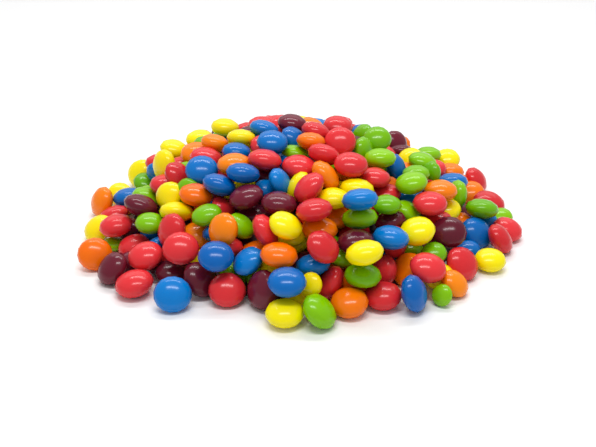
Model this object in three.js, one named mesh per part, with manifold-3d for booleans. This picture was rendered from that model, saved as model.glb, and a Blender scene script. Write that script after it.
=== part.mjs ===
// A loose heap of candy coated chocolates, as it lies on a flat surface.
// Millimetres, +Z up. The origin is on the surface under the middle of the heap's width and depth, and the
// front faces -Y. The candies are laid round the middle of the dome they form, and the heap is then moved.
import * as THREE from 'three'
import { mergeVertices } from 'three/addons/utils/BufferGeometryUtils.js'
import Module from 'manifold-3d'

// Driving dimensions
const candyWidth = 13.5 // across the round of one candy
const candyThickness = 8.1
const heapRadius = 91
const heapHeight = 43
const packedInset = 14 // candies are laid one by one down to this far inside the outer form
const coreInset = 6 // from the outer form in to the solid core
const skirtHeight = 3 // the core's skirt, under the candies that lie outermost
const coreRimInset = 0 // from the middles of the outermost candies in to the edge of the skirt
const trimDepth = 5 // what reaches below the surface is cut off level
const sureDepth = 3 // candies that lie no deeper than this are taken to show
const lookouts = 8 // places round a deeper candy's outer side
const clearLookouts = 6 // of which so many must be clear for it to show

// The faceted body of one candy
const candySides = 5
const flatRadius = 0.6 // of the level facet at either face, as a share of the half width
const flatHeight = 0.92 // and of the half thickness
const fusedGrowths = [1, 1.05, 1.1] // a candy that only just touches takes the first that fuses
const leastFused = 4 // cubic millimetres that a candy shares with what it is fused to
const sinkStep = 6 // from a candy to the one sunk in behind it
const mostSunk = 4
const coreSides = 30
const coreRings = 5

// How the candies are laid
const randomSeed = 4127
const fineness = 10000 // places are kept to this many parts of a millimetre
const easingRounds = 80
const freeRounds = 8 // the last rounds only part candies that still cross
const sightPull = 0.5 // share of the way back to its sight line that a round takes a candy
const nearSurface = 4 // a shown candy that starts lower than this above the surface lies on it
const shownInset = 4.6 // from the outer form to the middle of a candy that lies outermost
const lowTries = 3000
const tuckTries = 12000
const lowBand = 10 // the low candies start within this height
const tuckSizes = [0.93, 1.05]
const proudness = [0.5, 4] // how far a tucked candy may stand out of the outer form
const uprightness = 1 // how much a tucked candy likes to lie flat
const outwardness = 0.5 // how much it leans with the slope
const driftStep = 0.5
const driftSteps = 24
const restingSteps = 6 // a candy that has moved no further for so many steps has come to rest
const partingsPerStep = 4
const crowdedDepth = 5 // a start that lies this deep in another candy is given up
const allowedCrossing = 0.6
const neighbourReach = 30
const viewClearance = 22 // in view units, from a tucked candy to a shown one behind it
const outlineShares = [-0.7, 0, 0.7] // parts of its half width where a tucked candy keeps below the skyline

// The view in which the shown candies were read: its size and focal length in view units, the eye's
// place behind and above the origin, and the fall of its line of sight over a run
const view = { width: 596, height: 447, focalLength: 900, eyeBack: 349, eyeHeight: 160, run: 15, fall: 7 }

const candyColours = {
  yellow: { shade: '#fbe40a', share: 0.18 },
  orange: { shade: '#ff7a0a', share: 0.15 },
  red: { shade: '#e8303a', share: 0.25 },
  green: { shade: '#7ccb10', share: 0.18 },
  blue: { shade: '#0a6ad0', share: 0.14 },
  purple: { shade: '#5a2035', share: 0.1 },
}

// Candies that the view shows, read by eye. Each has its middle across and down in view units, how round
// it looks (short side over long side), the lean of its long side in degrees, its size as a share of a
// whole candy, and how many millimetres deeper it lies than the outermost ones.
const shownCandies = {
  yellow: [
    [225.2, 127.3, 0.66, -5, 0.95, 0], [200, 139, 0.7, 5, 0.95, 0], [242, 139, 0.61, -4, 0.92, 0],
    [174, 149, 0.7, -12, 0.95, 0], [254, 155, 0.72, 30, 1, 6], [410, 159, 0.85, 20, 0.85, 3.5],
    [447, 159.5, 0.85, 0, 0.88, 0.5], [164, 165, 0.75, 88, 1, 0], [141, 173.5, 0.9, 70, 1, 0],
    [356, 188, 0.62, -8, 1, 0], [120, 194, 0.9, 0, 0.85, 0], [169, 195.5, 0.9, 60, 0.85, 0],
    [332.5, 197.5, 0.68, 0, 0.92, 0], [446.5, 209.5, 0.8, 0, 0.87, 3], [177, 211, 0.6, -3, 1, 0],
    [287, 224.5, 0.75, -30, 0.95, 1], [98.5, 228.5, 0.8, 45, 0.95, 0], [417, 231, 0.8, 12, 1, 0],
    [296.5, 240, 0.7, 38, 1, 0.8], [364.5, 252.8, 0.65, 12, 1, -2], [490, 260, 0.77, -8, 0.9, 0],
    [345, 263, 0.7, 70, 0.75, 6], [274, 268, 0.7, 0, 0.8, 5], [310.5, 285, 0.9, 80, 0.68, -1.5],
    [283.5, 311.3, 0.74, 0, 1, 0],
  ],
  orange: [
    [215, 143, 0.62, -12, 0.9, 0], [310.5, 143, 0.62, -5, 0.88, 0], [196, 153, 0.75, 10, 1, 3],
    [234, 164, 0.68, 5, 1, 3], [450, 171.5, 0.66, -5, 0.92, 0], [327, 175.5, 0.62, -50, 1, 0],
    [440, 191, 0.68, -5, 1, 0], [470.5, 192.5, 0.85, 0, 0.92, 2], [196, 195.5, 0.68, -8, 1, 0],
    [103, 205, 0.74, 78, 1, 0], [126, 206, 0.8, 0, 0.7, 8], [336.5, 217.5, 0.8, 0, 0.85, 2], [459, 222, 0.8, 0, 0.8, 6],
    [319.5, 229, 0.7, -5, 1, 1.5], [223.3, 229.8, 0.85, 80, 0.94, 0], [196.5, 235, 0.8, 20, 0.97, 2.5],
    [258, 252, 0.7, 0, 0.9, 7], [95, 254, 0.97, 0, 0.98, 0], [279, 255, 0.68, -5, 1, -1],
    [335, 268, 0.7, 20, 0.75, 10], [407, 269, 0.8, 60, 0.97, 6], [454.7, 283.5, 0.78, -50, 0.83, 2],
    [349, 301.5, 0.8, 8, 1, 0],
  ],
  red: [
    [262, 125, 0.65, 0, 0.95, 3], [274, 126, 0.7, -30, 0.95, 3], [338, 126, 0.74, -8, 0.95, 0],
    [247, 130.5, 0.62, 10, 0.95, 4], [316, 131.8, 0.62, -18, 0.95, 0], [340, 141.5, 0.93, 0, 0.98, 0],
    [323, 155, 0.6, -18, 1, 0], [206, 158, 0.7, -8, 1, 3], [265, 160, 0.64, -8, 1, 0],
    [160, 163, 0.65, 0, 1, 6], [299, 165.5, 0.7, -5, 1, 0], [350, 165.5, 0.75, -8, 1, 0],
    [183, 166, 0.65, 0, 1, 5], [433, 169.5, 0.75, 0, 0.9, 4], [178, 175.3, 0.78, -50, 0.9, 2],
    [375.7, 177.8, 0.7, -12, 0.88, 0], [476, 180, 0.72, -60, 0.95, 0], [166, 185, 0.7, 0, 1, 5],
    [309, 188.5, 0.68, 45, 1, 0], [386.5, 193.5, 0.7, 0, 0.9, 3], [430, 203.5, 0.73, -5, 1, 0],
    [489.5, 206.8, 0.75, -25, 1.05, -1], [223.5, 208.5, 0.72, -55, 0.8, 4],
    [313, 211.5, 0.64, 10, 1, 0], [112, 213, 0.62, 25, 1, 0], [435.5, 221, 0.7, 0, 1, 4],
    [116, 225.5, 0.7, 15, 1, 0], [506.5, 227.7, 0.78, -30, 0.93, 3], [172, 231, 0.8, 80, 1, 3],
    [266, 231, 0.63, -60, 1, 0], [353, 231.5, 0.66, 0, 1, 5], [500, 237.8, 0.68, -60, 0.96, 0],
    [134, 246, 0.75, 20, 0.95, 5], [323, 247, 0.8, -48, 0.96, 2], [182, 250, 0.92, 0, 1, -1],
    [145.5, 256, 0.8, 20, 1, -2], [462, 263, 0.85, -60, 1, 0], [384, 270, 0.75, 80, 0.9, 3],
    [427, 269, 0.8, -20, 1, -3], [331, 282, 0.62, 60, 1, 1.5], [134.2, 283.3, 0.72, 16, 1.05, 0],
    [227, 289, 0.93, 0, 1, 6], [384, 297, 0.76, 0, 1, 0],
  ],
  green: [
    [362, 136, 0.75, 60, 0.85, 3], [377, 139.2, 0.9, 0, 0.91, 0], [296, 152, 0.62, -10, 0.88, 3.5],
    [427.5, 155, 0.65, 0, 0.92, 3.5], [380, 158.3, 0.65, 0, 0.97, 0],
    [422.5, 161.8, 0.68, -20, 0.93, 0.5], [431, 173, 0.8, 85, 0.72, 0], [416, 174, 0.66, 0, 0.85, 3],
    [411, 183.5, 0.72, 8, 0.95, 0], [457, 195, 0.62, 85, 0.95, 3], [147.5, 197.5, 0.68, -15, 0.97, 3],
    [387, 204.5, 0.7, -5, 0.82, 2], [408.5, 212, 0.7, -40, 0.85, 1.5], [481, 212.5, 0.62, -8, 1, 0],
    [500, 213.5, 0.8, 0, 0.75, 5], [206.5, 215, 0.72, 20, 0.87, 1.5], [359.5, 217.5, 0.62, 5, 1, 1.5],
    [150, 223, 0.75, 0, 0.85, 0], [240.8, 226, 0.72, -42, 0.85, 1.5], [114, 244, 0.7, 0, 0.6, 9],
    [410, 252, 0.75, 0, 0.8, 7], [434, 253, 0.85, 0, 0.72, 3.5], [342, 257, 0.8, 0, 0.8, 6],
    [362.8, 275.5, 0.67, -5, 0.98, -1], [442, 295.2, 0.9, 80, 0.6, 0], [320, 311, 0.72, -50, 1, 0],
  ],
  blue: [
    [315, 126.5, 0.62, 0, 0.95, 4], [264, 129.5, 0.62, -15, 0.95, 0], [294, 138.5, 0.75, -40, 0.87, 4],
    [272.5, 142, 0.78, -5, 0.95, 0], [236.5, 151.5, 0.66, -5, 0.88, 3], [396, 169, 0.65, -75, 1, 6],
    [202, 170, 0.87, 0, 1, 0], [242.5, 173.8, 0.61, -8, 0.97, 0], [280.5, 181.3, 0.7, -65, 0.84, 5],
    [452, 182, 0.62, 0, 1, 2.5], [219.5, 185, 0.61, -18, 1, 0], [265, 188, 0.85, 0, 0.62, 5],
    [410, 197.5, 0.65, 0, 0.95, 4], [360, 200, 0.61, 5, 1, 0], [484, 224, 0.8, 0, 0.9, 6],
    [477, 234.4, 0.85, -50, 1, 0], [391, 237.5, 0.66, -10, 1, 0], [469, 246, 0.8, 0, 0.7, 6],
    [386, 256, 0.8, 0, 0.8, 6], [216, 256.4, 0.85, 0, 0.96, 0], [250, 265, 0.75, 40, 0.9, 5],
    [313, 265, 0.62, 10, 0.95, -1.5], [287, 282, 0.77, 0, 1, -4.5], [174, 291, 0.96, 0, 1, 0],
    [413.1, 291, 0.7, -78, 1, 0],
  ],
  purple: [
    [292.2, 123.5, 0.67, -8, 0.95, 0], [396, 142.5, 0.85, -60, 0.85, 3], [360, 150, 0.75, -50, 1, 7],
    [267, 173.5, 0.8, 0, 0.95, 5], [246, 197, 0.7, 20, 1, 0], [279.5, 203, 0.67, -5, 1, 0],
    [141, 205.5, 0.62, -18, 1.04, 0], [254, 215, 0.66, 0, 1, 6], [390.5, 221, 0.66, 15, 0.9, 2.5],
    [449, 233, 0.92, 0, 1, 0], [355.5, 242, 0.68, 5, 1, 3.2], [428, 247, 0.8, 0, 0.9, 6],
    [239, 250, 0.75, 0, 1, 9], [112.3, 268.5, 0.78, 60, 0.98, 0], [129, 262, 0.8, 30, 0.75, 12], [158, 266, 0.8, 0, 0.6, 9],
    [129, 229, 0.8, 0, 0.85, 9],
    [172, 272.5, 0.75, 0, 0.95, 2], [199, 281.5, 0.8, -50, 1.05, 8],
    [261.8, 289, 0.8, 85, 1.06, 0],
  ],
}

const halfWidth = candyWidth / 2
const halfThickness = candyThickness / 2
const flatness = halfThickness / halfWidth

// Plain vector arithmetic, in arrays of three
const dot = (a, b) => a[0] * b[0] + a[1] * b[1] + a[2] * b[2]
const sum = (a, b, share) => [a[0] + b[0] * share, a[1] + b[1] * share, a[2] + b[2] * share]
const times = (a, share) => [a[0] * share, a[1] * share, a[2] * share]
const unit = (a) => times(a, 1 / Math.sqrt(dot(a, a)))
const kept = (a) => a.map((value) => Math.floor(value * fineness + 0.5) / fineness)

const ahead = unit([0, view.run, -view.fall])
const upright = [0, -ahead[2], ahead[1]]
const eye = [0, -view.eyeBack, view.eyeHeight]

let randomState = randomSeed
function draw() {
  randomState = (randomState * 16807) % 2147483647
  return randomState / 2147483647
}
const drawBetween = (low, high) => low + (high - low) * draw()

// The heap's outer form is a round dome, and an inset makes it smaller all round
function domeHeight(x, y, inset) {
  const radius = heapRadius - inset
  return (heapHeight - inset) * (1 - (x * x + y * y) / (radius * radius))
}

function domeNormal(x, y) {
  const steepness = (2 * heapHeight) / (heapRadius * heapRadius)
  return unit([steepness * x, steepness * y, 1])
}

// How far a candy reaches from its middle in a direction
function reach(candy, direction) {
  const along = dot(candy.axis, direction)
  return Math.sqrt(candy.wide - (candy.wide - candy.thin) * along * along)
}

function makeCandy(colour, middle, axis, size) {
  const wide = halfWidth * size * halfWidth * size
  const thin = halfThickness * size * halfThickness * size
  return { colour, middle: kept(middle), axis: unit(kept(axis)), size, wide, thin, shown: false }
}

// How deep two candies cross, and the direction that parts them soonest, or null where they are clear
function crossing(one, other) {
  const gap = sum(one.middle, other.middle, -1)
  const far = halfWidth * (one.size + other.size)
  if (dot(gap, gap) >= far * far) return null
  const mean = (one.wide + other.wide) / 2
  const flatOne = (one.wide - one.thin) / 2
  const flatOther = (other.wide - other.thin) / 2
  const turn = dot(one.axis, other.axis)
  const alongOne = dot(gap, one.axis)
  const alongOther = dot(gap, other.axis)
  const spread = (mean - flatOne) * (mean - flatOther) - flatOne * flatOther * turn * turn
  const shareOne = (alongOne * (mean - flatOther) + flatOther * turn * alongOther) / spread
  const shareOther = (alongOther * (mean - flatOne) + flatOne * turn * alongOne) / spread
  const pushed = sum(gap, one.axis, flatOne * shareOne)
  const push = times(sum(pushed, other.axis, flatOther * shareOther), 1 / mean)
  const nearness = Math.sqrt(0.25 * dot(gap, push))
  const length = Math.sqrt(dot(push, push))
  const depth = (4 * nearness * (1 - nearness)) / length
  return depth > 0 ? { depth, direction: times(push, 1 / length) } : null
}

function deepestCrossing(candy, neighbours) {
  let deepest = null
  for (const neighbour of neighbours) {
    const found = crossing(candy, neighbour)
    if (found && (!deepest || found.depth > deepest.depth)) deepest = found
  }
  return deepest
}

// Where a line of sight first meets the dome, or passes nearest to it
function domeDistance(sight, inset) {
  const height = heapHeight - inset
  const bend = height / ((heapRadius - inset) * (heapRadius - inset))
  const square = bend * (sight[0] * sight[0] + sight[1] * sight[1])
  const linear = sight[2] - 2 * bend * view.eyeBack * sight[1]
  const constant = bend * view.eyeBack * view.eyeBack + view.eyeHeight - height
  const meets = linear * linear - 4 * square * constant
  return meets > 0 ? (-linear - Math.sqrt(meets)) / (2 * square) : -linear / (2 * square)
}

// A shown candy turns so that its outline has the roundness and lean that were read
function shownAxis(sight, roundness, lean) {
  const facing = Math.sqrt(Math.max(0, (roundness * roundness - flatness * flatness) / (1 - flatness * flatness)))
  const aside = Math.sqrt(1 - facing * facing)
  const angle = (lean * Math.PI) / 180
  const tilted = sum([-Math.sin(angle) * aside, 0, 0], upright, Math.cos(angle) * aside)
  return unit(sum(tilted, sight, -facing))
}

function layShown() {
  const candies = []
  for (const [colour, rows] of Object.entries(shownCandies)) {
    for (const [across, down, roundness, lean, size, deeper] of rows) {
      const aside = (across - view.width / 2) / view.focalLength
      const raised = (view.height / 2 - down) / view.focalLength
      const sight = unit([aside, ahead[1] + raised * upright[1], ahead[2] + raised * upright[2]])
      const candy = makeCandy(colour, eye, shownAxis(sight, roundness, lean), size)
      const floorDistance = (reach(candy, [0, 0, 1]) - view.eyeHeight) / sight[2]
      const distance = Math.min(domeDistance(sight, shownInset + deeper), floorDistance)
      candy.middle = kept(sum(eye, sight, distance))
      candy.sight = sight
      candy.shown = true
      candy.onSurface = candy.middle[2] - reach(candy, [0, 0, 1]) < nearSurface
      candies.push(candy)
    }
  }
  return candies
}

// No candy sinks into the surface, and one that the view shows lying on it stays down on it
function keepAbove(candy) {
  const lowest = reach(candy, [0, 0, 1])
  if (candy.onSurface || candy.middle[2] < lowest) candy.middle = [candy.middle[0], candy.middle[1], lowest]
}

// Candies that cross push each other apart, while each is drawn back to its own line of sight
function easeApart(candies) {
  for (let round = 0; round < easingRounds; round++) {
    for (let i = 0; i < candies.length; i++) {
      for (let j = 0; j < i; j++) {
        const found = crossing(candies[i], candies[j])
        if (!found) continue
        candies[i].middle = sum(candies[i].middle, found.direction, found.depth / 2)
        candies[j].middle = sum(candies[j].middle, found.direction, -found.depth / 2)
      }
    }
    for (const candy of candies) {
      if (round < easingRounds - freeRounds) {
        const onSight = sum(eye, candy.sight, dot(sum(candy.middle, eye, -1), candy.sight))
        candy.middle = sum(candy.middle, sum(onSight, candy.middle, -1), sightPull)
      }
      keepAbove(candy)
      candy.middle = kept(candy.middle)
    }
  }
}

// A candy as the view shows it: its middle across and down from the view's own middle, how far it reaches
// to a side and up, and how far ahead it lies
function seen(candy) {
  const offset = sum(candy.middle, eye, -1)
  const distance = dot(offset, ahead)
  const share = view.focalLength / distance
  return {
    across: offset[0] * share, down: -dot(offset, upright) * share,
    wide: reach(candy, [1, 0, 0]) * share, tall: reach(candy, upright) * share, distance,
  }
}

// Millimetres that a point lies inside the outer form, measured square to its slope
function depthUnder(point) {
  return (domeHeight(point[0], point[1], 0) - point[2]) * domeNormal(point[0], point[1])[2]
}

function keepUnder(candy, proud) {
  const normal = domeNormal(candy.middle[0], candy.middle[1])
  const excess = reach(candy, normal) - proud - depthUnder(candy.middle)
  if (excess > 0) candy.middle = sum(candy.middle, normal, -excess)
}

// Whether the view would show a candy before a shown one, or outside the outline of the shown ones
function intrudes(candy, shownPlaces) {
  const place = seen(candy)
  const outside = outlineShares.some((share) => {
    const across = place.across + share * place.wide
    const top = place.down - place.tall * Math.sqrt(1 - share * share)
    return shownPlaces.every((other) => {
      const column = (across - other.across) / other.wide
      return Math.abs(column) >= 1 || top < other.down - other.tall * Math.sqrt(1 - column * column)
    })
  })
  return outside || shownPlaces.some((other) => {
    const across = place.across - other.across
    const down = place.down - other.down
    const close = across * across + down * down < viewClearance * viewClearance
    return close && place.distance < other.distance
  })
}

// The candy drifts up or down in small steps, and each step parts it from what it meets. It stops where it
// comes to rest, or before it would intrude on the view.
function driftToRest(candy, neighbours, shownPlaces, heading, proud) {
  let furthest = candy.middle[2]
  let resting = 0
  for (let step = 0; step < driftSteps && resting < restingSteps; step++) {
    const before = candy.middle
    candy.middle = sum(candy.middle, [0, 0, heading], driftStep)
    for (let parting = 0; parting < partingsPerStep; parting++) {
      keepUnder(candy, proud)
      keepAbove(candy)
      const found = deepestCrossing(candy, neighbours)
      if (!found) break
      candy.middle = sum(candy.middle, found.direction, found.depth)
    }
    if (step > 0 && intrudes(candy, shownPlaces)) {
      candy.middle = before
      break
    }
    const moved = (candy.middle[2] - furthest) * heading > driftStep / 10
    if (moved) furthest = candy.middle[2]
    resting = moved ? 0 : resting + 1
  }
  keepAbove(candy)
  candy.middle = kept(candy.middle)
}

function drawColour() {
  let left = draw()
  for (const [colour, { share }] of Object.entries(candyColours)) {
    if (left < share) return colour
    left -= share
  }
  return 'red'
}

// A point drawn evenly from the unit disc or the unit ball, by drawing again until it falls inside
function drawInside(dimensions) {
  let point
  do {
    point = [0, 0, 0]
    for (let i = 0; i < dimensions; i++) point[i] = drawBetween(-1, 1)
  } while (dot(point, point) > 1)
  return point
}

function drawTucked(low) {
  const [x, y] = times(drawInside(2), heapRadius)
  const floor = low ? 0 : Math.max(0, domeHeight(x, y, packedInset))
  const ceiling = low ? Math.min(lowBand, domeHeight(x, y, 0)) : domeHeight(x, y, 0)
  const turned = sum(unit(drawInside(3)), [0, 0, 1], uprightness)
  const axis = unit(sum(turned, [x / heapRadius, y / heapRadius, 0], outwardness))
  return makeCandy(drawColour(), [x, y, drawBetween(floor, ceiling)], axis, drawBetween(...tuckSizes))
}

// The rest of the heap. A candy starts anywhere in it and comes to rest: the low ones sink to the surface,
// and the others rise until they bear on the outer ones from below. It stays where it neither crosses
// another, nor stands out of the outer form, nor intrudes on the view.
function tuckIn(candies, tries, low) {
  const shownPlaces = candies.filter((candy) => candy.shown).map(seen)
  for (let attempt = 0; attempt < tries; attempt++) {
    const candy = drawTucked(low)
    const proud = drawBetween(...proudness)
    const neighbours = candies.filter((other) => {
      const gap = sum(candy.middle, other.middle, -1)
      return gap[0] * gap[0] + gap[1] * gap[1] < neighbourReach * neighbourReach
    })
    const start = deepestCrossing(candy, neighbours)
    if (start && start.depth > crowdedDepth) continue
    driftToRest(candy, neighbours, shownPlaces, low ? -1 : 1, proud)
    const left = deepestCrossing(candy, neighbours)
    if (left && left.depth > allowedCrossing) continue
    const [x, y] = candy.middle
    const room = depthUnder(candy.middle) - reach(candy, domeNormal(x, y))
    if (room < -proudness[1]) continue
    if (Math.sqrt(x * x + y * y) > heapRadius - halfWidth) continue
    if (!intrudes(candy, shownPlaces)) candies.push(candy)
  }
}

// Whether a line that leaves one place heading out of the heap misses every candy but the one it starts in
function clearAbove(place, heading, own, candies) {
  return candies.every((other) => {
    if (other === own) return true
    const gap = sum(place, other.middle, -1)
    const along = dot(gap, heading)
    if (dot(gap, gap) - along * along > other.wide || along > halfWidth) return true
    const gapUp = dot(gap, other.axis)
    const headingUp = dot(heading, other.axis)
    const squash = other.wide / other.thin - 1
    const square = 1 + squash * headingUp * headingUp
    const linear = along + squash * gapUp * headingUp
    const constant = dot(gap, gap) + squash * gapUp * gapUp - other.wide
    return linear > 0 || linear * linear < square * constant
  })
}

// A tucked candy shows where enough of its outer side can be seen straight from outside the slope
function shows(candy, candies) {
  const [x, y] = candy.middle
  const heading = domeNormal(x, y)
  const aside = unit([-y, x, 0])
  const down = [heading[1] * aside[2] - heading[2] * aside[1], heading[2] * aside[0] - heading[0] * aside[2], heading[0] * aside[1] - heading[1] * aside[0]]
  let clear = 0
  for (let i = 0; i < lookouts; i++) {
    const angle = (i * 2 * Math.PI) / lookouts
    const place = sum(sum(candy.middle, aside, halfWidth * 0.6 * Math.cos(angle)), down, halfWidth * 0.6 * Math.sin(angle))
    if (clearAbove(place, heading, candy, candies)) clear++
  }
  return clear >= clearLookouts
}

// The middle of the heap's width or of its depth
function middleAcross(side, candies) {
  const direction = [0, 0, 0]
  direction[side] = 1
  const high = Math.max(...candies.map((candy) => candy.middle[side] + reach(candy, direction)))
  const low = Math.min(...candies.map((candy) => candy.middle[side] - reach(candy, direction)))
  return (high + low) / 2
}

// A turned profile of [radius, height] points from the bottom up, as a closed mesh with its axis on Z
function turnedGeometry(profile, sides) {
  const points = profile.map(([radius, height]) => new THREE.Vector2(radius, height))
  const turned = new THREE.LatheGeometry(points, sides).rotateX(Math.PI / 2)
  turned.deleteAttribute('normal')
  turned.deleteAttribute('uv')
  return turned
}

// One candy of whole size. Its facets run as far outside the true round as inside it.
const cornerRadius = (halfWidth * 2) / (1 + Math.cos(Math.PI / candySides))
const facetedCandy = turnedGeometry([
  [0, -halfThickness * flatHeight],
  [cornerRadius * flatRadius, -halfThickness * flatHeight],
  [cornerRadius, 0],
  [cornerRadius * flatRadius, halfThickness * flatHeight],
  [0, halfThickness * flatHeight],
], candySides)

// How far out the middles of the outermost candies lie towards a side
function rimTowards(side, candies) {
  const near = candies.filter(({ middle: [x, y] }) => Math.abs(side[0] * y - side[1] * x) < halfWidth)
  return Math.max(...near.map((candy) => dot(candy.middle, side)))
}

// The core under the candies, a smaller dome on a low skirt with the heap's own uneven outline. It runs on
// below the surface.
function coreGeometry(candies) {
  const profile = [[0, -trimDepth / 2], [1, -trimDepth / 2]]
  for (let ring = 0; ring <= coreRings; ring++) profile.push([1 - ring / coreRings, skirtHeight])
  const core = mergeVertices(turnedGeometry(profile, coreSides))
  const points = core.attributes.position
  for (let i = 0; i < points.count; i++) {
    const [x, y] = [points.getX(i), points.getY(i)]
    const out = Math.sqrt(x * x + y * y)
    const radius = out < 0.001 ? 0 : out * (rimTowards([x / out, y / out, 0], candies) - coreRimInset)
    if (radius > 0) points.setXY(i, (x * radius) / out, (y * radius) / out)
    if (points.getZ(i) > 0) points.setZ(i, Math.max(skirtHeight, domeHeight(radius, 0, coreInset)))
  }
  return core
}

const manifoldModule = await Module()
manifoldModule.setup()

function solidFrom(geometry) {
  const merged = mergeVertices(geometry)
  return new manifoldModule.Manifold(new manifoldModule.Mesh({
    numProp: 3,
    vertProperties: new Float32Array(merged.attributes.position.array),
    triVerts: new Uint32Array(merged.index.array),
  }))
}

function geometryFrom(solid) {
  const mesh = solid.getMesh()
  const geometry = new THREE.BufferGeometry()
  geometry.setAttribute('position', new THREE.BufferAttribute(mesh.vertProperties, 3))
  geometry.setIndex(new THREE.BufferAttribute(mesh.triVerts, 1))
  geometry.computeVertexNormals()
  return geometry
}

function facetedBody(candy, growth) {
  const place = new THREE.Matrix4().compose(
    new THREE.Vector3(...candy.middle),
    new THREE.Quaternion().setFromUnitVectors(new THREE.Vector3(0, 0, 1), new THREE.Vector3(...candy.axis)),
    new THREE.Vector3(1, 1, 1).multiplyScalar(candy.size * growth),
  )
  return solidFrom(facetedCandy.clone().applyMatrix4(place))
}

// The core with the showing candies fused on, cut level where it rests. A candy that doesn't yet reach the
// rest waits until others have, or until it has grown a little, and the last are carried by more candies
// sunk in behind them, towards the middle of the underside.
function fusedHeap(candies) {
  let heap = solidFrom(coreGeometry(candies))
  let waiting = candies
  for (const growth of fusedGrowths) {
    let before
    do {
      before = waiting.length
      waiting = waiting.filter((candy) => {
        const body = facetedBody(candy, growth)
        if (heap.intersect(body).volume() < leastFused) return true
        heap = heap.add(body)
        return false
      })
    } while (waiting.length < before)
  }
  for (const candy of waiting) {
    const outward = unit(candy.middle)
    let carried = facetedBody(candy, 1)
    for (let sunk = 1; sunk < mostSunk && heap.intersect(carried).volume() < leastFused; sunk++) {
      carried = carried.add(facetedBody({ ...candy, middle: sum(candy.middle, outward, -sunk * sinkStep) }, 1))
    }
    heap = heap.add(carried)
  }
  const span = 4 * heapRadius
  const trim = new THREE.BoxGeometry(span, span, trimDepth).translate(0, 0, -trimDepth / 2)
  trim.deleteAttribute('normal')
  trim.deleteAttribute('uv')
  return heap.subtract(solidFrom(trim)).decompose().reduce((best, piece) => (piece.volume() > best.volume() ? piece : best))
}

const candies = layShown()
easeApart(candies)
tuckIn(candies, lowTries, true)
tuckIn(candies, tuckTries, false)
const showing = candies.filter((candy) => candy.shown || depthUnder(candy.middle) < sureDepth || shows(candy, candies))

const heap = new THREE.Mesh(
  geometryFrom(fusedHeap(showing)).translate(-middleAcross(0, candies), -middleAcross(1, candies), 0),
  new THREE.MeshStandardMaterial({ color: candyColours.red.shade, roughness: 0.25, metalness: 0 }),
)
heap.name = 'candy_heap'

const group = new THREE.Group()
group.add(heap)
export default group
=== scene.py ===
# A loose heap of glossy candy coated chocolates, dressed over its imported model, for Blender 4.5.
# The candies are laid in millimetres, by the same steps as in the model, and are then made in metres.
import math

import bpy
import numpy as np
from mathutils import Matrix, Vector


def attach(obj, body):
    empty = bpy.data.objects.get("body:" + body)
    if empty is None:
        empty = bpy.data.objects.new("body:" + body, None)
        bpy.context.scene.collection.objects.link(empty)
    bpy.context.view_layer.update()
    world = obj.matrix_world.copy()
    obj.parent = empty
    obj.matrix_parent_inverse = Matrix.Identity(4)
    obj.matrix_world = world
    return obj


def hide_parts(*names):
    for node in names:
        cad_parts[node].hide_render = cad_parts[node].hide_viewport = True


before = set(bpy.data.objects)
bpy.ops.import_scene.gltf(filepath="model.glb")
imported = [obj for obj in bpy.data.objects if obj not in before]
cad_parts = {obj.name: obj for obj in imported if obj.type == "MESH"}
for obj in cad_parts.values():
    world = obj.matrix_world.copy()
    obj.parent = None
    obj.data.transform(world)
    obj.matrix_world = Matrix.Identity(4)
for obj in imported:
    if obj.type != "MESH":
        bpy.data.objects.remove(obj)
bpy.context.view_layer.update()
print("frame loaded")

heap = {
    "candyWidth": 13.5,  # across the round of one candy
    "candyThickness": 8.1,
    "radius": 91,
    "height": 43,
    "seed": 4127,
    "fineness": 10000,  # places are kept to this many parts of a millimetre
    "shownInset": 4.6,  # from the outer form to the middle of a candy that lies outermost
    "nearSurface": 4,  # a shown candy that starts lower than this above the surface lies on it
    "easingRounds": 80,
    "freeRounds": 8,  # the last rounds only part candies that still cross
    "easingReach": 26,  # candies further apart than this are not tried against each other in a round
    "sightPull": 0.5,  # share of the way back to its sight line that a round takes a candy
}

# The rest of the heap, tucked in round the candies that the view shows
tuck = {
    "lowTries": 3000,
    "tries": 12000,
    "packedInset": 14,  # candies are laid down to this far inside the outer form
    "lowBand": 10,  # the low candies start within this height
    "sizes": (0.93, 1.05),
    "proudness": (0.5, 4),  # how far a tucked candy may stand out of the outer form
    "uprightness": 1,  # how much a tucked candy likes to lie flat
    "outwardness": 0.5,  # how much it leans with the slope
    "driftStep": 0.5,
    "stillParts": 10,  # a step that gains less than one of so many parts of it is a rest
    "driftSteps": 24,
    "restingSteps": 6,  # a candy that has moved no further for so many steps has come to rest
    "partingsPerStep": 4,
    "crowdedDepth": 5,  # a start that lies this deep in another candy is given up
    "allowedCrossing": 0.6,
    "neighbourReach": 30,  # from where a candy starts; those further off aren't tried against it
    "viewClearance": 22,  # in view units, from a tucked candy to a shown one behind it
    "outlineShares": (-0.7, 0, 0.7),  # parts of its half width where it keeps below the skyline
}

# The view in which the shown candies were read: its size and focal length in view units, the eye's
# place behind and above the middle of the heap's dome, and the fall of its line of sight over a run
view = {
    "width": 596,
    "height": 447,
    "focalLength": 900,
    "eyeBack": 349,
    "eyeHeight": 160,
    "run": 15,
    "fall": 7,
    "sensorWidth": 36,  # millimetres
}

# How many of the tucked candies have each colour
colourShares = {"yellow": 0.18, "orange": 0.15, "red": 0.25, "green": 0.18, "blue": 0.14, "purple": 0.1}

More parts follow.
